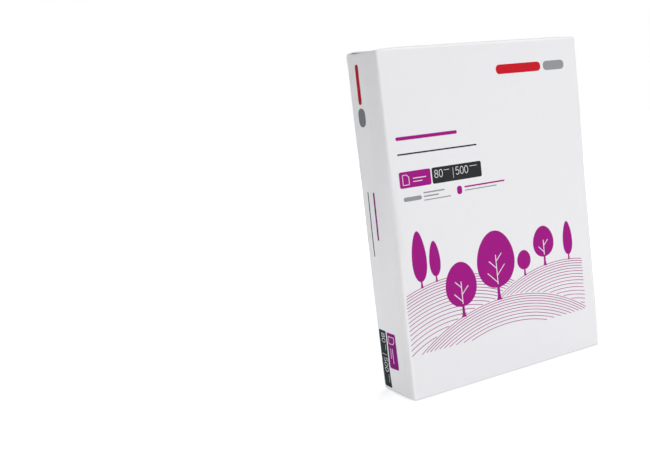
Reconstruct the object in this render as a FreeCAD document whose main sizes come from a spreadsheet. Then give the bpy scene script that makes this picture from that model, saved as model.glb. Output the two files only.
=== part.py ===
"""A wrapped ream of office paper, standing on one short end, in millimetres.

Five hundred sheets lie inside one printed sheet of wrapping paper that is glued shut, so the pack is one sealed
solid. +Z runs up the long side of the sheets, the front face looks along -Y, and the origin is under the middle
of the pack.

The wrapper goes round the block as a tube, with a lapped seam down the back face. At each end the two narrow
sides of the tube are tucked in first. That turns the ends of the wide sides into flaps with folds at 45 degrees:
the back flap goes down next, and the front flap over it. Each ply more stands a little higher, and runs over the
rounded edge of the pack. So every layer of the fold is the same rounded block, a little longer than the layer
below it and cut down to its own outline, and the pack is all of the layers together.
"""
import FreeCAD, Part
import os
import Sketcher
from FreeCAD import Vector

SIZES = {
    "sheet_width": 210.0,
    "sheet_length": 297.0,
    "sheet_count": 500,
    "sheet_caliper": 0.11,
    "wrapper_ply": 0.12,
    "top_ply_pitch": 0.3,
    "base_ply_pitch": 0.15,
    "flap_overlap": 24.0,
    "long_edge_radius": 2.2,
    "end_edge_radius": 1.4,
    "seam_overlap": 30.0,
    "seam_ramp": 3.0,
    "seam_from_side": 88.0,
}

# How many plies lie between the sheets and the outside of each layer of the end fold.
TUCK_PLIES = 1
BACK_FLAP_PLIES = 3
SEAM_PLIES = 4
FRONT_FLAP_PLIES = 5

PACK_WIDTH = "(sizes.sheet_width + 2 * sizes.wrapper_ply)"
BLOCK_DEPTH = "(sizes.sheet_count * sizes.sheet_caliper + 2 * sizes.wrapper_ply)"
FLAP_DEPTH = f"({BLOCK_DEPTH} + sizes.flap_overlap) / 2"

# The seam stands one ply proud of the back face, and the origin is midway between it and the front face.
LEFT_X = f"-{PACK_WIDTH} / 2"
RIGHT_X = f"{PACK_WIDTH} / 2"
FRONT_Y = f"-({BLOCK_DEPTH} + sizes.wrapper_ply) / 2"
BACK_Y = f"({BLOCK_DEPTH} - sizes.wrapper_ply) / 2"
SEAM_Y = f"({BLOCK_DEPTH} + sizes.wrapper_ply) / 2"

# How far a cutting outline runs past the outside of the pack.
CUT_REACH = "sizes.long_edge_radius"


def make_sheet(doc):
    """The driving dimensions, one named cell each."""
    sheet = doc.addObject("Spreadsheet::Sheet", "sizes")
    for row, (name, value) in enumerate(SIZES.items(), start=1):
        sheet.set(f"A{row}", name)
        sheet.set(f"B{row}", str(value))
        sheet.setAlias(f"B{row}", name)
    doc.recompute()


def layer_base(plies):
    """Where a layer starts, because the front flap of the lower end is the one that rests on the floor."""
    return f"{FRONT_FLAP_PLIES - plies} * sizes.base_ply_pitch"


def layer_length(plies):
    """How long a layer is, from its lower end to its upper one."""
    return f"sizes.sheet_length + {plies} * (sizes.base_ply_pitch + sizes.top_ply_pitch)"


def plan_sketch(body, name):
    """An empty sketch on the body's ground plane."""
    sketch = body.newObject("Sketcher::SketchObject", name)
    ground = next(f for f in body.Origin.OriginFeatures if f.Role == "XY_Plane")
    sketch.AttachmentSupport = [(ground, "")]
    sketch.MapMode = "FlatFace"
    return sketch


def draw_outline(sketch, corners):
    """Draws a closed outline, with each corner placed by its own pair of dimensions."""
    first = sketch.GeometryCount
    count = len(corners)
    for index in range(count):
        start = Vector(index, index * index, 0)
        end = Vector(index + 1, (index + 1) ** 2, 0)
        sketch.addGeometry(Part.LineSegment(start, end))
    for index in range(count):
        following = first + (index + 1) % count
        sketch.addConstraint(Sketcher.Constraint("Coincident", first + index, 2, following, 1))
    for index, (x, y) in enumerate(corners):
        for kind, place in (("DistanceX", x), ("DistanceY", y)):
            number = sketch.addConstraint(Sketcher.Constraint(kind, -1, 1, first + index, 1, 1.0))
            sketch.setExpression(f"Constraints[{number}]", place)


def rectangle(left, front, right, back, margin="0"):
    """The corners of a rectangle, grown on every side by a margin."""
    low_x, high_x = f"{left} - {margin}", f"{right} + {margin}"
    low_y, high_y = f"{front} - {margin}", f"{back} + {margin}"
    return [(low_x, low_y), (high_x, low_y), (high_x, high_y), (low_x, high_y)]


def edges_along(shape, direction):
    """The names of the straight edges that run along a direction."""
    names = []
    for number, edge in enumerate(shape.Edges, start=1):
        start, end = edge.Vertexes[0].Point, edge.Vertexes[-1].Point
        if (end - start).cross(direction).Length < 1e-6:
            names.append(f"Edge{number}")
    return names


def end_faces(shape):
    """The names of the upper and the lower face."""
    box = shape.BoundBox
    names = []
    for number, face in enumerate(shape.Faces, start=1):
        if face.BoundBox.ZLength < 1e-6 and face.BoundBox.ZMin in (box.ZMin, box.ZMax):
            names.append(f"Face{number}")
    return names


def round_edges(body, base, names, radius):
    """Rounds some edges of a feature by a radius from the sheet."""
    fillet = body.newObject("PartDesign::Fillet", f"{body.Name}_{radius}")
    fillet.Base = (base, names)
    fillet.setExpression("Radius", f"sizes.{radius}")
    body.Document.recompute()
    return fillet


def rounded_block(doc, name, plies, back=BACK_Y):
    """The whole pack as it stands at one layer of the end fold, with every outer edge rounded."""
    body = doc.addObject("PartDesign::Body", name)
    plan = plan_sketch(body, f"{name}_plan")
    draw_outline(plan, rectangle(LEFT_X, FRONT_Y, RIGHT_X, back))
    plan.setExpression("AttachmentOffset.Base.z", layer_base(plies))
    block = body.newObject("PartDesign::Pad", f"{name}_block")
    block.Profile = plan
    block.setExpression("Length", layer_length(plies))
    doc.recompute()
    sides = round_edges(body, block, edges_along(block.Shape, Vector(0, 0, 1)), "long_edge_radius")
    round_edges(body, sides, end_faces(sides.Shape), "end_edge_radius")
    return body


def cut_to_outline(body, outline):
    """Takes away what lies outside an outline, all the way up the pack."""
    waste = plan_sketch(body, f"{body.Name}_waste")
    draw_outline(waste, rectangle(LEFT_X, FRONT_Y, RIGHT_X, SEAM_Y, f"2 * {CUT_REACH}"))
    draw_outline(waste, outline)
    trim = body.newObject("PartDesign::Pocket", f"{body.Name}_trim")
    trim.Profile = waste
    trim.Type = "ThroughAll"
    trim.Reversed = True
    body.Document.recompute()


def flap_outline(edge_y, inward):
    """A flap with its diagonal folds, which start at the corners of the pack; inward is +1 or -1 along Y."""
    root_y = f"{edge_y} - {inward} * {CUT_REACH}"
    tip_y = f"{edge_y} + {inward} * {FLAP_DEPTH}"
    return [
        (f"{LEFT_X} - {CUT_REACH}", root_y),
        (f"{RIGHT_X} + {CUT_REACH}", root_y),
        (f"{RIGHT_X} - {FLAP_DEPTH}", tip_y),
        (f"{LEFT_X} + {FLAP_DEPTH}", tip_y),
    ]


def seam_outline():
    """The lap of the seam, from the outer sheet's cut edge to where that sheet comes down off the inner one."""
    cut_x = f"{LEFT_X} + sizes.seam_from_side"
    lap_x = f"{cut_x} + sizes.seam_overlap"
    foot_x = f"{lap_x} + sizes.seam_ramp"
    tip_y = f"{BACK_Y} - {FLAP_DEPTH}"
    return [
        (cut_x, tip_y),
        (cut_x, f"{SEAM_Y} + {CUT_REACH}"),
        (lap_x, f"{SEAM_Y} + {CUT_REACH}"),
        (lap_x, SEAM_Y),
        (foot_x, BACK_Y),
        (lap_x, f"{BACK_Y} - sizes.seam_ramp"),
        (lap_x, tip_y),
    ]


def wrapped_ream(doc):
    """The sealed pack: the tucked block, the two flaps of each end and the seam, as one solid."""
    tucks = rounded_block(doc, "tucks", TUCK_PLIES)
    back_flaps = rounded_block(doc, "back_flaps", BACK_FLAP_PLIES)
    cut_to_outline(back_flaps, flap_outline(BACK_Y, -1))
    seam = rounded_block(doc, "seam", SEAM_PLIES, back=SEAM_Y)
    cut_to_outline(seam, seam_outline())
    front_flaps = rounded_block(doc, "front_flaps", FRONT_FLAP_PLIES)
    cut_to_outline(front_flaps, flap_outline(FRONT_Y, 1))
    pack = doc.addObject("Part::MultiFuse", "wrapped_ream")
    pack.Shapes = [tucks, back_flaps, seam, front_flaps]
    pack.Refine = True
    pack.Placement = FreeCAD.Placement()
    return pack


def check_and_export(doc, nodes):
    """Stops if anything failed to build, and otherwise writes one file for each node."""
    doc.recompute()
    for item in doc.Objects:
        if "Invalid" in item.State or "Error" in item.State:
            raise RuntimeError(f"{item.Label} failed: {item.State}")
    for node in nodes:
        if node.Shape.isNull() or not node.Shape.isValid():
            raise RuntimeError(f"{node.Label} has no valid shape")
    os.makedirs("parts", exist_ok=True)
    for node in nodes:
        node.Shape.exportStep(f"parts/{node.Label}.step")


def main():
    doc = FreeCAD.newDocument("ream")
    make_sheet(doc)
    check_and_export(doc, [wrapped_ream(doc)])


main()
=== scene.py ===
import math

import bmesh
import bpy
import numpy as np
from mathutils import Euler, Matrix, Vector


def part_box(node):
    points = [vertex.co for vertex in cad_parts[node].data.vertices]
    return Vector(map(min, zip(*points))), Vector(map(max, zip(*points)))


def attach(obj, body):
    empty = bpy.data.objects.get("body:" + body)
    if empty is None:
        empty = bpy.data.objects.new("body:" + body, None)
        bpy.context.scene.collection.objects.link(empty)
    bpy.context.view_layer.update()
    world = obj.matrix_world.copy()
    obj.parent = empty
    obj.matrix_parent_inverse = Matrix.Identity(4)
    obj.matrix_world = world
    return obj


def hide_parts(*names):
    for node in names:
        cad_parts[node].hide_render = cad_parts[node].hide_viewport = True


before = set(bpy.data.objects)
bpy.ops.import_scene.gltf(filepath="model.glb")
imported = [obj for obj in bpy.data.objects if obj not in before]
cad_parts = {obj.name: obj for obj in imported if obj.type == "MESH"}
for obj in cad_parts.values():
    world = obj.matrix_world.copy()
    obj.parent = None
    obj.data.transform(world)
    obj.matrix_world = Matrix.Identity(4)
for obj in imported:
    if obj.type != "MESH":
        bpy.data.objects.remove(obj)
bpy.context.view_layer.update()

NODE = "wrapped_ream"
MM = 0.001

# The pack, from the frame. The seam stands one ply proud of the back face.
PLY = 0.12
low_corner, high_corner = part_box(NODE)
HALF_WIDTH = high_corner.x / MM
HEIGHT = high_corner.z / MM
FRONT_Y = low_corner.y / MM
BACK_Y = high_corner.y / MM - PLY
MID_Y = (FRONT_Y + BACK_Y) / 2
HALF_DEPTH = (BACK_Y - FRONT_Y) / 2

# How round the edges are, how far the flaps reach, how thick the paper is drawn, and how much thicker a flap is
# along its diagonal folds.
LONG_EDGE_R = 1.9
END_EDGE_R = 1.4
FLAP_DEPTH = HALF_DEPTH + 12.0
PAPER = 0.22
FOLD_BEAD = 0.7

# How high each flap lies over the tucked sides, and where those lie.
TOP_RISE = {"front": 1.2, "back": 0.6}
BASE_RISE = {"front": 0.6, "back": 0.3}
TUCK_TOP = HEIGHT - TOP_RISE["front"]
TUCK_BASE = BASE_RISE["front"]

# The lap down the back: the outer sheet's cut edge, the end of the lap, and where the sheet comes down.
SEAM_CUT_X = -HALF_WIDTH + 88.0
SEAM_LAP_X = SEAM_CUT_X + 30.0
SEAM_FOOT_X = SEAM_LAP_X + 3.0

# How finely the paper is divided.
WIDE_STEPS = 80
NARROW_STEPS = 46
CORNER_STEPS = 8
HEIGHT_STEPS = 132
END_RINGS = 18
BEND_STEPS = 5
FLAP_STEPS = 128
FLAP_ROWS = 36
SEAM_ROWS = 150

# Where a surface turns by more than this many degrees, the shading breaks.
CREASE_ANGLE = 35


def smooth_step(value, start, end):
    """0 before start, 1 after end, and a soft rise between them."""
    t = np.clip((value - start) / (end - start), 0.0, 1.0)
    return t * t * (3.0 - 2.0 * t)


def bump_at(distance, reach):
    """1 at no distance, fading to nothing over about twice the reach."""
    return np.exp(-((distance / reach) ** 2))


def lower_of(first, second, softness):
    """The lower of two heights, with a soft crease where they cross."""
    return 0.5 * (first + second - np.sqrt((first - second) ** 2 + softness**2))


def seam_rise(x, z):
    """How far the lap's outer sheet stands off the back: its free edge springs up between spots of glue."""
    lap = 1.0 - smooth_step(x, SEAM_LAP_X - 1.0, SEAM_FOOT_X)
    spots = 0.5 + 0.5 * np.cos(z / 11.5 + 0.6 * np.sin(z / 37.0))
    free_edge = bump_at(x - SEAM_CUT_X, 3.2) * (0.12 + 0.3 * spots)
    return (PLY + 0.05 + free_edge) * lap - 0.1 * (1.0 - lap)


def wide_face(x, z):
    """The front and back: a low crown, slow waves, and faint pulls that run in from the corners."""
    across = x / HALF_WIDTH
    up = 2.0 * z / HEIGHT - 1.0
    crown = 0.5 * (1.0 - across**2) * (1.0 - up**4)
    waves = 0.05 * np.sin(x / 13.0 + z / 31.0 + 0.6) + 0.05 * np.sin(z / 14.0 - x / 25.0 + 2.1)
    waves = waves + 0.03 * np.sin(x / 6.1 - z / 17.0 + 4.0)
    near_end = smooth_step(np.abs(up), 0.8, 1.0)
    pulls = 0.07 * near_end * np.sin(x / 4.3 + 1.3 * np.sin(x / 19.0))
    fade = (1.0 - across**8) * (1.0 - up**16)
    beside_fold = np.clip(1.0 - (HALF_WIDTH - np.abs(x)) / 2.6, 0.0, 1.0) ** 2
    rolled = -0.6 * beside_fold * (0.3 + 0.7 * smooth_step(-up, -0.2, 0.5))
    return crown + (waves + pulls) * fade + rolled


def narrow_face(y, z, left):
    """The narrow sides: a swell that is fuller lower down, long upright ripples, and the left side's dents.

    Low down on the left side, the swell breaks along a ridge, with a flat facet between it and the front."""
    through = (y - MID_Y) / HALF_DEPTH
    up = 2.0 * z / HEIGHT - 1.0
    fullness = (0.6 + 1.3 * smooth_step(-up, -0.9, 0.7)) * (1.0 - 0.75 * up**12)
    round_profile = 1.0 - 0.35 * through**2 - 0.65 * through**6
    from_front = y - FRONT_Y
    facet_width = 3.3 + 5.5 * np.clip(1.0 - z / 62.0, 0.0, 1.0)
    ridge_height = 0.7
    beyond = 1.0 + (ridge_height - 1.0) * (1.0 - smooth_step(from_front, facet_width, facet_width + 18.0))
    creased_profile = lower_of(ridge_height * from_front / facet_width, beyond, 0.1)
    creased = np.where(left & (through < 0.0), 1.0 - smooth_step(z, 110.0, 190.0), 0.0)
    crown = (round_profile + (creased_profile - round_profile) * creased) * fullness
    ripples = 0.06 * np.sin(y / 2.3 + 0.8 * np.sin(z / 47.0)) + 0.16 * np.sin(y / 5.3 + z / 60.0 + 1.0)
    waves = 0.12 * np.sin(z / 21.0 + y / 15.0 + 0.5) + 0.04 * np.sin(z / 8.7 - y / 9.0)
    fade = (1.0 - through**6) * (1.0 - up**12)
    slack = 1.0 + 0.9 * smooth_step(-up, -0.2, 0.8)
    side = crown + (ripples * slack + waves) * fade
    return side + np.where(left, corner_dents(y, z), 0.0)


def slack_fold(points):
    """How far the fold between the front and the left side draws back halfway up, where the wrapper is slack."""
    x, y, z = points.T
    slack = smooth_step(z, 105.0, 145.0) * (1.0 - smooth_step(z, 155.0, 228.0))
    over_front = np.clip(1.0 - (x + HALF_WIDTH) / 7.5, 0.0, 1.0) ** 2
    over_side = 1.0 - smooth_step(y - FRONT_Y, 1.0, 14.0)
    return 2.6 * slack * over_front * over_side


def corner_dents(y, z):
    """The crease under the upper rear corner of the left side, and the crumple over its lower rear corner."""
    drop = HEIGHT - z
    crease_y = BACK_Y - 4.0 - 0.3 * drop
    crease = -0.8 * bump_at(y - crease_y, 2.4) * (1.0 - smooth_step(drop, 9.0, 22.0))
    pushed_out = 0.7 * smooth_step(y, BACK_Y - 7.0, BACK_Y) * (1.0 - smooth_step(drop, 2.0, 14.0))
    crumple = 0.4 * np.sin(y / 0.8 + z / 1.6) * bump_at(y - BACK_Y + 6.0, 4.5) * bump_at(z - 1.9, 0.8)
    pull = 0.3 * bump_at(y - FRONT_Y - 9.0 + 0.5 * z, 3.0) * (1.0 - smooth_step(z, 6.0, 22.0))
    return crease + pushed_out + crumple + pull


def tuck_face(x, y, top):
    """The tucked sides: slack paper that springs up a little at the top and is pressed flat underneath."""
    from_side = HALF_WIDTH - np.abs(x)
    slack = 0.35 * np.sin(np.pi * np.clip(from_side / 24.0, 0.0, 1.0)) * np.cos((y - MID_Y) / 17.0)
    return np.where(top, slack + raised_corner(x, y), 0.0)


def raised_corner(x, y):
    """How far the upper rear corner of the left side stands up, where four plies of paper turn over."""
    return 1.1 * bump_at(np.hypot(x + HALF_WIDTH, y - BACK_Y), 7.0)


def stand_off(points, normals, end_offset):
    """How far the paper stands off the true block, with the share of each face taken from the normal."""
    x, y, z = points.T
    share = normals**2
    side = narrow_face(y, z, normals[:, 0] < 0)
    face = wide_face(x, z)
    return share[:, 0] * side + share[:, 1] * face + share[:, 2] * end_offset


def link_piece(name, mesh, material):
    """Makes a piece of the pack from a mesh, and lets it ride on the pack."""
    mesh.materials.append(material)
    mesh.polygons.foreach_set("use_smooth", [True] * len(mesh.polygons))
    piece = bpy.data.objects.new(name, mesh)
    bpy.context.scene.collection.objects.link(piece)
    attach(piece, "root")
    return piece


def closed_mesh(name, points, faces):
    """A mesh in metres whose faces all look outwards, with sharp edges where the surface turns sharply."""
    mesh = bpy.data.meshes.new(name)
    mesh.from_pydata((np.asarray(points) * MM).tolist(), [], faces)
    form = bmesh.new()
    form.from_mesh(mesh)
    bmesh.ops.recalc_face_normals(form, faces=form.faces)
    form.to_mesh(mesh)
    form.free()
    mesh.set_sharp_from_angle(angle=math.radians(CREASE_ANGLE))
    return mesh


def outline_ring(inset):
    """The pack's outline in plan, drawn in by an inset: points and outward normals, anticlockwise."""
    radius = max(LONG_EDGE_R - inset, 0.05)
    half_x = HALF_WIDTH - inset - radius
    half_y = max(HALF_DEPTH - inset - radius, 0.0)
    evenly = np.linspace(-1.0, 1.0, WIDE_STEPS + 1)
    wide = 0.35 * evenly + 0.65 * np.sin(evenly * math.pi / 2)
    narrow = np.linspace(-1.0, 1.0, NARROW_STEPS + 1)
    turns = np.linspace(0.0, math.pi / 2, CORNER_STEPS + 1)[1:-1]
    # Each side: the places along it, the line it lies on, the way it faces, and whether it runs along X.
    sides = [
        (wide * half_x, -half_y, -math.pi / 2, True),
        (narrow * half_y, half_x, 0.0, False),
        (wide[::-1] * half_x, half_y, math.pi / 2, True),
        (-narrow * half_y, -half_x, math.pi, False),
    ]
    points, normals = [], []
    corners = [(half_x, -half_y), (half_x, half_y), (-half_x, half_y), (-half_x, -half_y)]
    for (along, line, facing, along_x), (corner_x, corner_y) in zip(sides, corners):
        out_x, out_y = math.cos(facing), math.sin(facing)
        for value in along:
            x, y = (value, line) if along_x else (line, value)
            points.append((x + radius * out_x, y + radius * out_y))
            normals.append((out_x, out_y))
        for turn in turns:
            turn_x, turn_y = math.cos(facing + turn), math.sin(facing + turn)
            points.append((corner_x + radius * turn_x, corner_y + radius * turn_y))
            normals.append((turn_x, turn_y))
    points = np.array(points) + (0.0, MID_Y)
    return points, np.array(normals)


def sleeve_levels():
    """The rings of the sleeve from the middle of its lower end to the middle of its upper one.

    Each is (height, inset, upward part of the normal, tucked), and a tucked ring lies under a flap."""
    last_inset = HALF_DEPTH - 0.5
    insets = np.linspace(END_EDGE_R, last_inset, END_RINGS)
    angles = np.linspace(0.0, math.pi / 2, BEND_STEPS + 1)
    levels = [(TUCK_BASE, inset, -1.0, True) for inset in insets[:0:-1]]
    for angle in angles[:0:-1]:
        inset = END_EDGE_R * (1.0 - math.cos(angle))
        levels.append((TUCK_BASE + END_EDGE_R * (1.0 - math.sin(angle)), inset, -math.sin(angle), True))
    evenly = np.linspace(0.0, 1.0, HEIGHT_STEPS + 1)
    share = 0.45 * evenly + 0.55 * (1.0 - np.cos(np.pi * evenly)) / 2.0
    wall = TUCK_BASE + END_EDGE_R + share * (TUCK_TOP - TUCK_BASE - 2.0 * END_EDGE_R)
    levels += [(z, 0.0, 0.0, False) for z in wall]
    for angle in angles[1:]:
        inset = END_EDGE_R * (1.0 - math.cos(angle))
        levels.append((TUCK_TOP - END_EDGE_R * (1.0 - math.sin(angle)), inset, math.sin(angle), True))
    levels += [(TUCK_TOP, inset, 1.0, True) for inset in insets[1:]]
    return levels


# How far the tucked ends are drawn in from the front and the back, so that the flaps lie over them.
TUCK_DRAW = 0.35


def make_sleeve(material):
    """The wrapper round the block, with its sides tucked in over both ends."""
    rows = []
    for z, inset, rise, tucked in sleeve_levels():
        plan, out = outline_ring(inset)
        level = math.sqrt(1.0 - rise * rise)
        normals = np.column_stack([out * level, np.full(len(out), rise)])
        points = np.column_stack([plan, np.full(len(plan), z)])
        offset = stand_off(points, normals, tuck_face(plan[:, 0], plan[:, 1], rise > 0))
        points = points + normals * offset[:, None]
        points[:, 1] += slack_fold(points)
        if tucked:
            points[:, 1] -= TUCK_DRAW * out[:, 1] * np.abs(out[:, 1])
        rows.append(points)
    count = len(rows[0])
    faces = []
    for row in range(len(rows) - 1):
        start, above = row * count, (row + 1) * count
        for i in range(count):
            j = (i + 1) % count
            faces.append((start + i, start + j, above + j, above + i))
    faces.append(tuple(range(count))[::-1])
    faces.append(tuple(range((len(rows) - 1) * count, len(rows) * count)))
    mesh = closed_mesh("sleeve", np.concatenate(rows), faces)
    sleeve = link_piece("sleeve", mesh, material)
    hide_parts(NODE)


def flap_line(inset):
    """One line across a front flap, from one diagonal fold to the other: plan points and their normals."""
    radius = max(LONG_EDGE_R - inset, 0.0)
    half_x = HALF_WIDTH - max(inset, LONG_EDGE_R)
    arc = radius * math.pi / 4
    total = 2.0 * (arc + half_x)
    denser_at_ends = (1.0 - np.cos(np.linspace(0.0, math.pi, FLAP_STEPS + 1))) / 2.0 * 0.4
    evenly = np.linspace(0, 0.6, FLAP_STEPS + 1)
    points, normals = [], []
    for share in denser_at_ends + evenly:
        along = share * total
        if along < arc:
            turn = math.radians(225.0) + math.pi / 4 * along / arc
            middle = -half_x
        elif along > total - arc:
            turn = math.radians(270.0) + math.pi / 4 * (along - total + arc) / arc
            middle = half_x
        else:
            turn = math.radians(270.0)
            middle = along - arc - half_x
        out = np.array([math.cos(turn), math.sin(turn)])
        centre_y = -(HALF_DEPTH - max(inset, LONG_EDGE_R))
        points.append(np.array([middle, centre_y]) + radius * out)
        normals.append(out)
    return np.array(points), np.array(normals)


def flap_lift(x, inset, which, top):
    """How far a flap springs up off the plies below it; the pack's weight presses the lower flaps flat."""
    if not top:
        return np.zeros_like(x)
    from_corner = HALF_WIDTH - np.abs(x)
    left = x < 0
    arch = math.sin(math.pi * min(inset / FLAP_DEPTH, 1.0))
    if which == "front":
        spring = np.where(left, 0.5, 0.7) * bump_at(from_corner - 26.0, 9.0) * smooth_step(inset, 8.0, 27.0)
        belly = 0.3 * arch * (0.7 + 0.3 * np.cos(x / 33.0 + 0.7))
        other_edge = 2.0 * HALF_DEPTH - FLAP_DEPTH
        ply_below = 0.25 * smooth_step(inset, other_edge - 1.0, other_edge + 1.0)
        waves = 0.12 * np.sin(x / 7.7 + inset / 9.0) * smooth_step(inset, 0.0, 6.0)
        return spring + belly + ply_below + waves
    along_fold = bump_at(from_corner - inset, 8.0)
    loose = smooth_step(inset, 0.5, 5.5) * (1.0 - 0.8 * smooth_step(inset, 9.0, 22.0))
    spring = np.where(left, 1.7, 0.9) * along_fold * loose
    belly = 0.25 * arch * (0.7 + 0.3 * np.cos(x / 27.0))
    return spring + belly + raised_corner(x, BACK_Y - inset)


def make_flap(name, which, top, material):
    """One end flap: the face of the pack carried over the end edge and on to a cut edge, with a thickness."""
    rise = (TOP_RISE if top else BASE_RISE)[which]
    up = 1.0 if top else -1.0
    tuck = TUCK_TOP if top else TUCK_BASE
    stations = [(0.0, END_EDGE_R, 0.0, 0.0)]
    for angle in np.linspace(0.0, math.pi / 2, BEND_STEPS + 2):
        inset = END_EDGE_R * (1.0 - math.cos(angle))
        stations.append((inset, END_EDGE_R * (1.0 - math.sin(angle)), math.sin(angle), 1.0))
    for inset in np.linspace(END_EDGE_R, FLAP_DEPTH, FLAP_ROWS)[1:]:
        stations.append((inset, 0.0, 1.0, 1.0))
    outer, inner = [], []
    for inset, drop, lean, risen in stations:
        plan, out = flap_line(inset)
        if which == "back":
            plan, out = plan * (1, -1), out * (1, -1)
        plan = plan + (0.0, MID_Y)
        level = math.sqrt(1.0 - lean * lean)
        normals = np.column_stack([out * level, np.full(len(out), up * lean)])
        build_up = 0.35 + 0.65 * smooth_step(HALF_WIDTH - np.abs(plan[:, 0]), 1.0, 26.0)
        points = np.column_stack([plan, tuck + up * (rise * build_up * risen - drop)])
        lift = flap_lift(plan[:, 0], inset, which, top)
        points = points + normals * stand_off(points, normals, lift)[:, None]
        from_fold = np.minimum(np.arange(len(plan)), np.arange(len(plan))[::-1]) / 5.0
        bead = FOLD_BEAD * np.clip(1.0 - from_fold, 0.0, 1.0) * (0.2 + 0.8 * lean)
        outer.append(points)
        inner.append(points - normals * (PAPER + bead)[:, None])
    sheet_piece(name, np.concatenate(outer), np.concatenate(inner), len(outer), material)


def sheet_piece(name, outer, inner, rows, material):
    """A piece of paper with a thickness, from the grids of points on its two sides."""
    columns = len(outer) // rows
    faces = []
    size = rows * columns
    for row in range(rows - 1):
        for i in range(columns - 1):
            a, b = row * columns + i, row * columns + i + 1
            c, d = b + columns, a + columns
            faces.append((a, b, c, d))
            faces.append((size + d, size + c, size + b, size + a))
    rim = list(range(columns))
    rim += [row * columns + columns - 1 for row in range(1, rows)]
    rim += [(rows - 1) * columns + i for i in range(columns - 2, -1, -1)]
    rim += [row * columns for row in range(rows - 2, 0, -1)]
    for a, b in zip(rim, rim[1:] + rim[:1]):
        faces.append((a, b, size + b, size + a))
    link_piece(name, closed_mesh(name, np.concatenate([outer, inner]), faces), material)


def make_seam(material):
    """The lap down the back: the outer sheet's free edge and the strip behind it, with a thickness."""
    across = np.concatenate([np.linspace(0.0, 8.0, 17), np.linspace(8.0, SEAM_FOOT_X - SEAM_CUT_X, 13)[1:]])
    evenly = np.linspace(0.0, 1.0, SEAM_ROWS + 1)
    base, top = TUCK_BASE + 3.0, TUCK_TOP - 3.0
    outer = np.array([(SEAM_CUT_X + a, BACK_Y, base + (top - base) * e) for e in evenly for a in across])
    x, y, z = outer.T
    normals = np.tile((0.0, 1.0, 0.0), (len(outer), 1))
    faded = smooth_step(z, base, base + 6.0) * (1.0 - smooth_step(z, top - 6.0, top))
    rise = wide_face(x, z) + seam_rise(x, z) * faded - 0.1 * (1.0 - faded)
    outer = outer + normals * rise[:, None]
    sheet_piece("back_seam", outer, outer - normals * PAPER, len(evenly), material)


# The printed faces. A place on the front is (across from the left edge, up from the base), and a place on the
# left side is (across from the rear edge, up from the base).
#
# How high each layer of ink lies over the paper, and how deep its films reach into it. The print is divided
# finely enough to follow the paper: bars and panels by one step, and lines by another.
FILM_TOP = {"ground": 0.035, "over": 0.08, "top": 0.12}
FILM_FOOT = -0.04
BAR_STEP = 1.2
LINE_STEP = 1.5


def on_front(places):
    """Points on the front face, and their normals."""
    across, up = np.asarray(places, float).T
    points = np.column_stack([across - HALF_WIDTH, np.full(len(up), FRONT_Y), up])
    normals = np.tile((0.0, -1.0, 0.0), (len(up), 1))
    return points + normals * stand_off(points, normals, 0.0)[:, None], normals


def on_left(places):
    """Points on the left side, and their normals."""
    across, up = np.asarray(places, float).T
    points = np.column_stack([np.full(len(up), -HALF_WIDTH), BACK_Y - across, up])
    normals = np.tile((-1.0, 0.0, 0.0), (len(up), 1))
    return points + normals * stand_off(points, normals, 0.0)[:, None], normals


def divided(path, step):
    """A path with points added on its straight runs, so that it can follow the paper under it."""
    runs = []
    for start, end in zip(path, path[1:]):
        count = max(1, int(math.ceil(math.dist(start, end) / step)))
        runs.append(np.linspace(start, end, count, endpoint=False))
    return np.vstack([*runs, path[-1:]])


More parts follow.
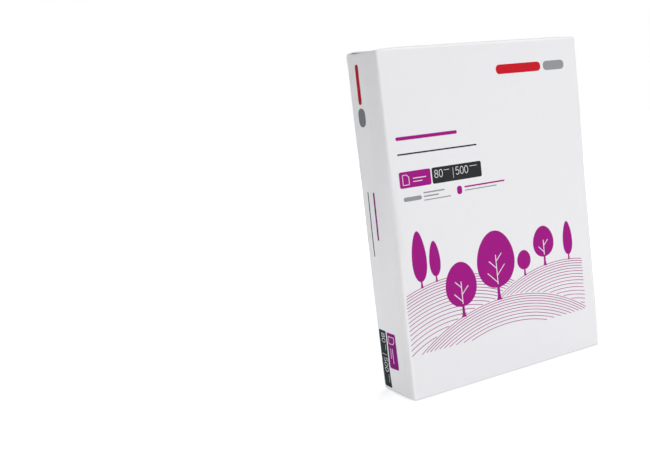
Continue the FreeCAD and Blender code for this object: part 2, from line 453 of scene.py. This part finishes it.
class Shapes:
    """Flat shapes that are printed together: their places on a face, and the faces between them."""

    def __init__(self):
        self.places = []
        self.faces = []

    def grid(self, rows):
        """Adds a grid of places, given row by row."""
        start = len(self.places)
        columns = len(rows[0])
        for row in rows:
            self.places.extend(row)
        for r in range(len(rows) - 1):
            for c in range(columns - 1):
                a = start + r * columns + c
                self.faces.append((a, a + 1, a + columns + 1, a + columns))

    def spans(self, base, top, ends, step):
        """Fills a shape from its base to its top, where ends gives the two ends of the row at a height."""
        heights = np.linspace(base, top, max(2, int(math.ceil((top - base) / step)) + 1))
        left_most = min(ends(height)[0] for height in heights)
        right_most = max(ends(height)[1] for height in heights)
        columns = max(2, int(math.ceil((right_most - left_most) / step)) + 1)
        self.grid([[(x, height) for x in np.linspace(*ends(height), columns)] for height in heights])

    def bar(self, left, base, width, height, radius):
        """A bar or panel with rounded corners."""
        steps = [0.0, 0.1, 0.3, 0.6, 1.0]
        lower = [base + radius * s for s in steps]
        middle = np.linspace(base + radius, base + height - radius, max(2, int(height / BAR_STEP) + 1))[1:-1]
        upper = [base + height - radius * s for s in reversed(steps)]
        columns = max(3, int(math.ceil(width / BAR_STEP)) + 1)
        rows = []
        for y in [*lower, *middle, *upper]:
            depth = max(radius - (y - base), radius - (base + height - y), 0.0)
            inset = radius - math.sqrt(max(radius * radius - depth * depth, 0.0))
            rows.append([(x, y) for x in np.linspace(left + inset, left + width - inset, columns)])
        self.grid(rows)

    def crown(self, middle, half_width, half_height, taper):
        """The crown of a tree: an oval that is fuller below than above."""
        rings = max(2, int(half_width / 3.0) + 1)
        sectors = 64
        start = len(self.places)
        self.places.append(middle)
        for ring in range(1, rings + 1):
            for sector in range(sectors):
                angle = 2.0 * math.pi * sector / sectors
                size = ring / rings
                width = half_width * (1.0 - taper * math.sin(angle))
                x = middle[0] + width * size * math.cos(angle)
                self.places.append((x, middle[1] + half_height * size * math.sin(angle)))
        for sector in range(sectors):
            following = (sector + 1) % sectors
            self.faces.append((start, start + 1 + sector, start + 1 + following))
            for ring in range(1, rings):
                a = start + 1 + (ring - 1) * sectors
                b = a + sectors
                self.faces.append((a + sector, b + sector, b + following, a + following))

    def ribbon(self, path, width, closed=False):
        """A line of one width along a path."""
        path = np.asarray(path, float)
        if closed:
            ahead, behind = np.roll(path, -1, 0), np.roll(path, 1, 0)
        else:
            path = divided(path, LINE_STEP)
            ahead, behind = np.vstack([path[1:], path[-1:]]), np.vstack([path[:1], path[:-1]])
        along = ahead - behind
        along /= np.linalg.norm(along, axis=1)[:, None]
        out = np.column_stack([-along[:, 1], along[:, 0]]) * width / 2.0
        left, right = path + out, path - out
        start = len(self.places)
        for a, b in zip(left, right):
            self.places.extend([tuple(a), tuple(b)])
        count = len(path)
        for i in range(count if closed else count - 1):
            a, b = start + 2 * i, start + 2 * ((i + 1) % count)
            self.faces.append((a, a + 1, b + 1, b))


def print_film(name, shapes, face, material, layer="ground", place=None):
    """Lays printed shapes on a face of the wrapper as a thin film of ink."""
    places = shapes.places if place is None else [place(*p) for p in shapes.places]
    points, normals = face(places)
    top = points + normals * FILM_TOP[layer]
    foot = points + normals * FILM_FOOT
    size = len(points)
    faces = [*shapes.faces, *(tuple(i + size for i in reversed(f)) for f in shapes.faces)]
    edges = {}
    for f in shapes.faces:
        for a, b in zip(f, f[1:] + f[:1]):
            if (b, a) in edges:
                del edges[(b, a)]
            else:
                edges[(a, b)] = True
    faces += [(b, a, a + size, b + size) for a, b in edges]
    link_piece(name, closed_mesh(name, np.concatenate([top, foot]), faces), material)


# The labels: a magenta panel with a page on it, and a dark panel with the two plain numbers. A panel's place is
# how far it starts from the left end of the first, and its width.
PANEL_HEIGHT = 13.8
PANEL_RADIUS = 1.6
PAGE_PANEL = (0.0, 30.6)
NUMBER_PANEL = (31.8, 50.8)
STROKE = 0.5
RULE = 0.35
DIGIT_HEIGHT = 6.4
DIGIT_BASE = 5.0


def circle(middle, half_width, half_height, start, end, count=24):
    """Points along an ellipse, from one angle to another."""
    angles = np.radians(np.linspace(start, end, count))
    return [(middle[0] + half_width * math.cos(a), middle[1] + half_height * math.sin(a)) for a in angles]


def number(shapes, digits, left):
    """Writes plain digits, of the three that are needed, in thin even strokes."""
    base, height = DIGIT_BASE, DIGIT_HEIGHT
    width = 0.52 * height
    # An oval is closed by its last stroke, so its points stop one step short of a full turn.
    last = 345.0
    for digit in digits:
        middle, top = left + width / 2.0, base + height
        if digit == "0":
            ring = circle((middle, base + height / 2.0), width / 2.0, height / 2.0, 0.0, last)
            shapes.ribbon(ring, STROKE, closed=True)
        elif digit == "8":
            upper = circle((middle, base + 0.76 * height), 0.42 * width, 0.24 * height, 0.0, last)
            lower = circle((middle, base + 0.26 * height), 0.5 * width, 0.26 * height, 0.0, last)
            shapes.ribbon(upper, STROKE, closed=True)
            shapes.ribbon(lower, STROKE, closed=True)
        elif digit == "5":
            shapes.ribbon([(left + 0.9 * width, top), (left + 0.14 * width, top)], STROKE)
            shapes.ribbon([(left + 0.16 * width, top), (left + 0.08 * width, base + 0.54 * height)], STROKE)
            bowl_middle = (middle - 0.02 * width, base + 0.32 * height)
            shapes.ribbon(circle(bowl_middle, 0.5 * width, 0.32 * height, 140.0, -145.0), STROKE)
        left += width + 0.2 * height


def panel(place):
    """One panel of the labels."""
    shapes = Shapes()
    left, width = place
    shapes.bar(left, 0.0, width, PANEL_HEIGHT, PANEL_RADIUS)
    return shapes


def panel_marks():
    """What shows white on the panels: a page with a turned corner, two numbers, and the rule between them."""
    marks = Shapes()
    left, base, right, top, fold = 3.2, 2.6, 9.2, 11.0, 2.0
    page = [(left, base), (right, base), (right, top - fold), (right - fold, top), (left, top), (left, base)]
    for start, end in zip(page, page[1:]):
        marks.ribbon([start, end], STROKE)
    for bar_base, bar_width in ((7.2, 13.0), (4.4, 9.0)):
        marks.bar(13.0, bar_base, bar_width, 0.6, 0.28)
    number(marks, "80", 34.4)
    marks.bar(44.0, 10.4, 5.4, 0.4, 0.18)
    marks.ribbon([(53.2, 2.4), (53.2, 11.6)], RULE)
    number(marks, "500", 55.9)
    marks.bar(70.6, 10.4, 7.8, 0.4, 0.18)
    return marks


# The picture: hills drawn in nested arcs, the nearer ones hiding the farther, with solid trees on them.
HILLS = [
    {"middle": (50.0, -34.0), "radius": 134.0, "lines": 17},
    {"middle": (168.0, -44.0), "radius": 136.0, "lines": 16},
    {"middle": (106.0, -88.0), "radius": 158.0, "lines": 10},
]
FIRST_PITCH = 2.1
PITCH_GROWTH = 0.14
HILL_LINE = 0.6
HILL_GAP = 1.2
SHORTEST_ARC = 6
PICTURE = {"left": 2.0, "right": 197.0, "base": 39.0}


def hill_lines():
    """Every arc of every hill, cut where a nearer hill or the picture's edge hides it.

    Both ends of an arc lie below the picture, so no run of points is still open when its last one is reached."""
    lines = Shapes()
    for index, hill in enumerate(HILLS):
        nearer = HILLS[index + 1:]
        radius = hill["radius"]
        for line in range(hill["lines"]):
            run = []
            for point in circle(hill["middle"], radius, radius, 180.0, 0.0, 361):
                inside = PICTURE["left"] <= point[0] <= PICTURE["right"] and point[1] >= PICTURE["base"]
                hidden = any(math.dist(point, h["middle"]) < h["radius"] + HILL_GAP for h in nearer)
                if inside and not hidden:
                    run.append(point)
                    continue
                if len(run) >= SHORTEST_ARC:
                    lines.ribbon(run, HILL_LINE)
                run = []
            radius -= FIRST_PITCH + PITCH_GROWTH * line
    return lines


def hill_top(x, hill):
    """The height of a hill's outer line at a distance across the face."""
    reach = hill["radius"] ** 2 - (x - hill["middle"][0]) ** 2
    return hill["middle"][1] + math.sqrt(reach)


# Each tree: where it stands across the face, the hill it stands on, the height of its trunk, half the width and
# half the height of its crown, how much the crown narrows upwards, and the number of bare twigs in it.
TREES = [
    {"x": 152.0, "hill": 1, "trunk": 8.0, "crown": (12.0, 14.5), "taper": 0.1, "twigs": 2},
    {"x": 19.0, "hill": 0, "trunk": 5.0, "crown": (7.0, 22.0), "taper": 0.22, "twigs": 0},
    {"x": 34.0, "hill": 0, "trunk": 4.5, "crown": (5.4, 15.5), "taper": 0.22, "twigs": 0},
    {"x": 128.0, "hill": 1, "trunk": 5.5, "crown": (7.6, 9.0), "taper": 0.06, "twigs": 0},
    {"x": 58.0, "hill": 2, "trunk": 9.0, "crown": (16.0, 20.0), "taper": 0.1, "twigs": 3},
    {"x": 97.0, "hill": 2, "trunk": 11.0, "crown": (20.5, 26.0), "taper": 0.1, "twigs": 4},
    {"x": 181.0, "hill": 1, "trunk": 4.5, "crown": (5.6, 16.0), "taper": 0.22, "twigs": 0},
]
STEM = 0.8
TWIG = 0.7


def trees():
    """The solid trees: a trunk that widens at its foot, and a crown."""
    grove = Shapes()
    for tree in TREES:
        x, foot = tree["x"], hill_top(tree["x"], HILLS[tree["hill"]])
        half_width, half_height = tree["crown"]
        top = foot + tree["trunk"] + 0.4 * half_height

        def trunk_ends(height):
            flare = 1.0 + 1.6 * math.exp(-(height - foot) / 2.0)
            half = 0.05 * half_width * flare + 0.4
            return x - half, x + half

        grove.spans(foot - 0.5, top, trunk_ends, 1.5)
        grove.crown((x, foot + tree["trunk"] + half_height), half_width, half_height, tree["taper"])
    return grove


def twigs():
    """Bare lines inside the larger crowns, as a stem with twigs on both sides."""
    lines = Shapes()
    for tree in TREES:
        count = tree["twigs"]
        if not count:
            continue
        x = tree["x"]
        base = hill_top(x, HILLS[tree["hill"]]) + tree["trunk"]
        half_width, half_height = tree["crown"]
        step = 1.25 * half_height / (count + 1)
        lines.ribbon([(x, base + 0.12 * half_height), (x, base + step * (count + 0.6))], STEM)
        for index in range(count):
            side = 1 if index % 2 else -1
            start = base + step * (index + 0.7)
            reach = half_width * (0.5 - 0.06 * index)
            lines.ribbon([(x, start), (x + side * reach, start + reach)], TWIG)
    return lines


def bars(*places):
    """Plain rounded bars, each (left, base, width, height)."""
    shapes = Shapes()
    for left, base, width, height in places:
        shapes.bar(left, base, width, height, 0.45 * min(width, height))
    return shapes


def print_labels(prefix, face, place, inks):
    """The two panels and what is on them, laid on a face by a function that places them."""
    print_film(f"{prefix}_page_panel", panel(PAGE_PANEL), face, inks["magenta"], place=place)
    print_film(f"{prefix}_number_panel", panel(NUMBER_PANEL), face, inks["dark"], place=place)
    print_film(f"{prefix}_panel_marks", panel_marks(), face, inks["bare"], "over", place)


def print_front(inks):
    """Everything on the front: plain bars at the top, the labels with lines of notes below, and the picture."""
    def label_place(x, y):
        return 8.3 + x, 182.7 + y

    print_labels("front", on_front, label_place, inks)
    print_film("front_accent", bars((116.5, 269.8, 50.0, 8.4)), on_front, inks["red"])
    print_film("front_accent_tail", bars((169.5, 269.8, 24.5, 8.4)), on_front, inks["grey"])
    print_film("front_heading", bars((8.8, 222.7, 60.5, 3.0)), on_front, inks["magenta"])
    print_film("front_heading_rule", bars((8.8, 210.4, 79.5, 1.3)), on_front, inks["dark"])
    notes = bars(
        (10.5, 171.4, 17.5, 3.6),
        (30.0, 176.0, 21.0, 1.2),
        (30.0, 172.9, 15.0, 1.2),
        (30.0, 169.8, 27.0, 0.9),
        (71.5, 172.4, 34.0, 0.9),
    )
    print_film("front_notes", notes, on_front, inks["grey"])
    note_accents = bars((63.6, 170.2, 5.2, 7.4), (71.5, 175.2, 43.0, 1.4))
    print_film("front_note_accents", note_accents, on_front, inks["magenta"])
    print_film("front_hill_lines", hill_lines(), on_front, inks["line"])
    print_film("front_trees", trees(), on_front, inks["magenta"], "over")
    print_film("front_tree_twigs", twigs(), on_front, inks["bare"], "top")


def print_left(inks):
    """The same bars and labels on the left side, turned to read downwards, with the panels side by side."""
    numbers_left = NUMBER_PANEL[0]

    def label_place(x, y):
        if x < numbers_left - 0.5:
            return 19.8 + y * 1.15, 56.2 - x * 1.06
        return 3.7 + y, 56.4 - (x - numbers_left) * 1.035

    print_labels("side", on_left, label_place, inks)
    print_film("side_accent", bars((15.4, 255.0, 5.8, 34.0)), on_left, inks["red"])
    print_film("side_accent_tail", bars((12.4, 236.0, 12.2, 16.0)), on_left, inks["grey"])
    print_film("side_heading", bars((23.0, 138.0, 2.8, 42.0)), on_left, inks["magenta"])
    print_film("side_heading_rule", bars((13.0, 123.0, 1.4, 57.0)), on_left, inks["dark"])


# The coated paper: its white, the lighter white painted along its folds and over its upper end as a highlight, and
# how rough it and the inks are.
PAPER_WHITE = (0.85, 0.85, 0.874)
PAINTED_HIGHLIGHT_WHITE = (0.94, 0.94, 0.955)
BARE_WHITE = (0.845, 0.845, 0.87)
PAPER_ROUGHNESS = 0.42
INK_ROUGHNESS = 0.5
COAT_ROUGHNESS = 0.25


def map_range(tree, value, start, end, first, last):
    """A node that takes start to end of a value over to first to last, and its result."""
    node = tree.nodes.new("ShaderNodeMapRange")
    for name, number in (("From Min", start), ("From Max", end), ("To Min", first), ("To Max", last)):
        node.inputs[name].default_value = number
    tree.links.new(value, node.inputs["Value"])
    return node.outputs["Result"]


def maths(tree, operation, first, second):
    """A maths node on two values, each a number or a socket, and its result."""
    node = tree.nodes.new("ShaderNodeMath")
    node.operation = operation
    for socket, value in zip(node.inputs, (first, second)):
        if isinstance(value, float):
            socket.default_value = value
        else:
            tree.links.new(value, socket)
    return node.outputs[0]


def painted_fold_highlight(tree, place):
    """Painted highlight: how far the paper's colour is lightened, up to 1 along the long folds low down and little
    higher up, fading to 0 beside them, and 0.8 over the upper end from just below its edge.
    """
    parts = tree.nodes.new("ShaderNodeSeparateXYZ")
    tree.links.new(place, parts.inputs[0])
    across = maths(tree, "ABSOLUTE", parts.outputs["X"], 0.0)
    from_side = maths(tree, "SUBTRACT", (HALF_WIDTH - 0.9) * MM, across)
    through = maths(tree, "ABSOLUTE", maths(tree, "SUBTRACT", parts.outputs["Y"], MID_Y * MM), 0.0)
    from_face = maths(tree, "SUBTRACT", HALF_DEPTH * MM, through)
    side_square = maths(tree, "MULTIPLY", from_side, from_side)
    face_square = maths(tree, "MULTIPLY", from_face, from_face)
    from_fold = maths(tree, "SQRT", maths(tree, "ADD", side_square, face_square), 0.0)
    long_fold = map_range(tree, from_fold, 0.0005, 0.0021, 1.0, 0.0)
    highlight_near_base = map_range(tree, parts.outputs["Z"], 0.03, 0.13, 1.0, 0.05)
    end_fold = map_range(tree, parts.outputs["Z"], (TUCK_TOP - 1.6) * MM, (TUCK_TOP - 0.6) * MM, 0.0, 0.8)
    return maths(tree, "MAXIMUM", maths(tree, "MULTIPLY", long_fold, highlight_near_base), end_fold)


def surface(name, colour, darker, roughness, specular, coat=0.0, highlighted_folds=False):
    """A bare or printed paper: faint mottle in its colour, uneven sheen, and fibre and cockle in its bump.

    The mottle goes down to a share of the colour, which darker gives; at 1 there is none."""
    material = bpy.data.materials.new(name)
    material.use_nodes = True
    tree = material.node_tree
    nodes, links = tree.nodes, tree.links
    shader = nodes["Principled BSDF"]
    shader.inputs["Specular IOR Level"].default_value = specular
    shader.inputs["Coat Weight"].default_value = coat
    shader.inputs["Coat Roughness"].default_value = COAT_ROUGHNESS
    where = nodes.new("ShaderNodeTexCoord")

    def noise(scale, detail):
        node = nodes.new("ShaderNodeTexNoise")
        node.inputs["Scale"].default_value = scale
        node.inputs["Detail"].default_value = detail
        links.new(where.outputs["Object"], node.inputs["Vector"])
        return node.outputs["Fac"]

    def mixed(first, second, factor):
        node = nodes.new("ShaderNodeMix")
        node.data_type = "RGBA"
        for socket, value in ((node.inputs["A"], first), (node.inputs["B"], second)):
            if isinstance(value, tuple):
                socket.default_value = (*value, 1.0)
            else:
                links.new(value, socket)
        links.new(factor, node.inputs["Factor"])
        return node.outputs["Result"]

    def bump(height, strength, distance):
        node = nodes.new("ShaderNodeBump")
        node.inputs["Strength"].default_value = strength
        node.inputs["Distance"].default_value = distance
        links.new(height, node.inputs["Height"])
        return node

    if darker == 1.0:
        shader.inputs["Base Color"].default_value = (*colour, 1.0)
    else:
        tone = mixed(colour, tuple(c * darker for c in colour), noise(60.0, 4.0))
        # Painted highlight: the colour is lightened towards white along the folds and over the upper end.
        if highlighted_folds:
            tone = mixed(tone, PAINTED_HIGHLIGHT_WHITE, painted_fold_highlight(tree, where.outputs["Object"]))
        links.new(tone, shader.inputs["Base Color"])

    sheen = map_range(tree, noise(95.0, 3.0), 0.3, 0.7, roughness - 0.05, roughness + 0.06)
    links.new(sheen, shader.inputs["Roughness"])

    cockle = bump(noise(75.0, 2.0), 0.35, 0.00025)
    fibre = bump(noise(1500.0, 3.0), 0.25, 0.00003)
    links.new(cockle.outputs["Normal"], fibre.inputs["Normal"])
    links.new(fibre.outputs["Normal"], shader.inputs["Normal"])
    return material


def ink(name, red, green, blue, darker):
    """A printed ink, with its colour as written from 0 to 255."""
    shares = [c / 255.0 for c in (red, green, blue)]
    linear = tuple(s / 12.92 if s <= 0.04045 else ((s + 0.055) / 1.055) ** 2.4 for s in shares)
    return surface(name, linear, darker, INK_ROUGHNESS, 0.02)


# The floor and the surround are white to the camera. The floor glows a little there, and more away from the pack,
# so that it keeps the pack's shadow, and the surround lights the pack at a lower level than the camera sees.
FLOOR_WHITE = 0.9
FLOOR_GLOW = {"near": 0.25, "far": 1.2, "near_level": 0.45, "far_level": 0.86}
WORLD_LEVEL = 0.32


def make_stage():
    """A white floor that keeps the pack's shadow, and a white surround."""
    bpy.ops.mesh.primitive_plane_add(size=8.0)
    floor = bpy.context.object
    floor.name = "floor"
    floor.location.z = -0.0001
    material = bpy.data.materials.new("floor")
    material.use_nodes = True
    tree = material.node_tree
    nodes, links = tree.nodes, tree.links
    nodes.clear()
    out = nodes.new("ShaderNodeOutputMaterial")
    matt = nodes.new("ShaderNodeBsdfDiffuse")
    matt.inputs["Color"].default_value = (FLOOR_WHITE, FLOOR_WHITE, FLOOR_WHITE, 1.0)
    glow = nodes.new("ShaderNodeEmission")
    path = nodes.new("ShaderNodeLightPath")
    where = nodes.new("ShaderNodeTexCoord")
    reach = nodes.new("ShaderNodeVectorMath")
    reach.operation = "LENGTH"
    links.new(where.outputs["Object"], reach.inputs[0])
    glow_level = map_range(tree, reach.outputs["Value"], *FLOOR_GLOW.values())
    links.new(maths(tree, "MULTIPLY", path.outputs["Is Camera Ray"], glow_level), glow.inputs["Strength"])
    both = nodes.new("ShaderNodeAddShader")
    links.new(matt.outputs[0], both.inputs[0])
    links.new(glow.outputs[0], both.inputs[1])
    links.new(both.outputs[0], out.inputs["Surface"])
    floor.data.materials.append(material)

    world = bpy.data.worlds.new("surround")
    bpy.context.scene.world = world
    world.use_nodes = True
    tree = world.node_tree
    ground = tree.nodes["Background"]
    ground.inputs["Color"].default_value = (1.0, 1.0, 1.0, 1.0)
    path = tree.nodes.new("ShaderNodeLightPath")
    level = map_range(tree, path.outputs["Is Camera Ray"], 0.0, 1.0, WORLD_LEVEL, 1.0)
    tree.links.new(level, ground.inputs["Strength"])


# Each lamp: where it is, the point it faces, its side, its power, and whether it shows in the highlights. Only the
# overhead one does, because the others would turn whole faces white from the angle that mirrors them.
LAMPS = {
    "key": ((-0.2, -2.42, 0.28), (0.0, 0.0, 0.12), 0.9, 31.0, False),
    "top": ((0.0, -0.1, 1.9), (0.0, 0.0, 0.2), 1.0, 8.0, True),
    "front_fill": ((0.75, -0.9, 0.14), (0.1, 0.0, 0.06), 0.22, 1.2, False),
    "side_fill": ((-0.575, 0.4, 0.05), (-0.1, 0.0, 0.08), 0.2, 1.93, False),
    "back_fill": ((1.6, 1.5, 0.9), (0.0, 0.0, 0.15), 1.2, 17.0, False),
}

# The photograph's camera, fitted to the pack's visible corners. It leans a little, as the picture's uprights do.
# The middle is the pixel that the lens looks straight at, and lies at the pack.
IMAGE_WIDTH, IMAGE_HEIGHT = 650.0, 475.0
FOCAL_LENGTH_PX = 899.5
MIDDLE_PX = (475.0, 220.0)
CAMERA_PLACE = (-0.45513, -0.68455, 0.25748)
CAMERA_TURN = (81.822, 5.596, -33.970)


def make_lamp(name, place, aim, size, power, shines):
    """A square soft lamp that faces a point."""
    data = bpy.data.lights.new(name, "AREA")
    data.size = size
    data.energy = power
    lamp = bpy.data.objects.new(name, data)
    lamp.visible_glossy = shines
    lamp.location = place
    lamp.rotation_euler = (Vector(aim) - Vector(place)).to_track_quat("-Z", "Y").to_euler()
    bpy.context.scene.collection.objects.link(lamp)


def make_camera():
    """Looks at the pack from where the photograph was taken."""
    data = bpy.data.cameras.new("camera")
    data.lens = FOCAL_LENGTH_PX / IMAGE_WIDTH * data.sensor_width
    data.shift_x = (IMAGE_WIDTH / 2.0 - MIDDLE_PX[0]) / IMAGE_WIDTH
    data.shift_y = (MIDDLE_PX[1] - IMAGE_HEIGHT / 2.0) / IMAGE_WIDTH
    camera = bpy.data.objects.new("camera", data)
    camera.location = CAMERA_PLACE
    camera.rotation_euler = Euler([math.radians(a) for a in CAMERA_TURN])
    bpy.context.scene.collection.objects.link(camera)
    bpy.context.scene.camera = camera


def main():
    """The camera, the stage and the lamps, then the wrapper and what is printed on it."""
    bpy.context.scene.view_settings.view_transform = "Standard"
    make_camera()
    make_stage()
    for name, lamp in LAMPS.items():
        make_lamp(name, *lamp)

    # The paper's colour carries painted highlight along its folds and over its upper end.
    paper = surface("coated_paper", PAPER_WHITE, 0.985, PAPER_ROUGHNESS, 0.5, coat=0.3, highlighted_folds=True)
    make_sleeve(paper)
    make_seam(paper)
    for which in ("front", "back"):
        make_flap(f"top_{which}_flap", which, True, paper)
        make_flap(f"base_{which}_flap", which, False, paper)

    bare = surface("bare_print", BARE_WHITE, 1.0, PAPER_ROUGHNESS, 0.5)
    print_front({
        "magenta": ink("magenta_ink", 163, 33, 134, 0.93),
        "dark": ink("dark_ink", 52, 53, 54, 0.92),
        "red": ink("red_ink", 203, 35, 47, 0.93),
        "grey": ink("grey_ink", 150, 152, 154, 0.95),
        "line": ink("line_ink", 161, 32, 132, 1.0),
        "bare": bare,
    })
    # Painted shade: the left side's inks are copies of the front's, most of them darker, standing in for the shade
    # that side lies in.
    print_left({
        "magenta": ink("shaded_side_magenta_ink", 140, 32, 128, 0.93),
        "dark": ink("shaded_side_dark_ink", 46, 56, 58, 0.92),
        "red": ink("shaded_side_red_ink", 176, 38, 52, 0.93),
        "grey": ink("shaded_side_grey_ink", 122, 124, 127, 0.95),
        "bare": bare,
    })


main()
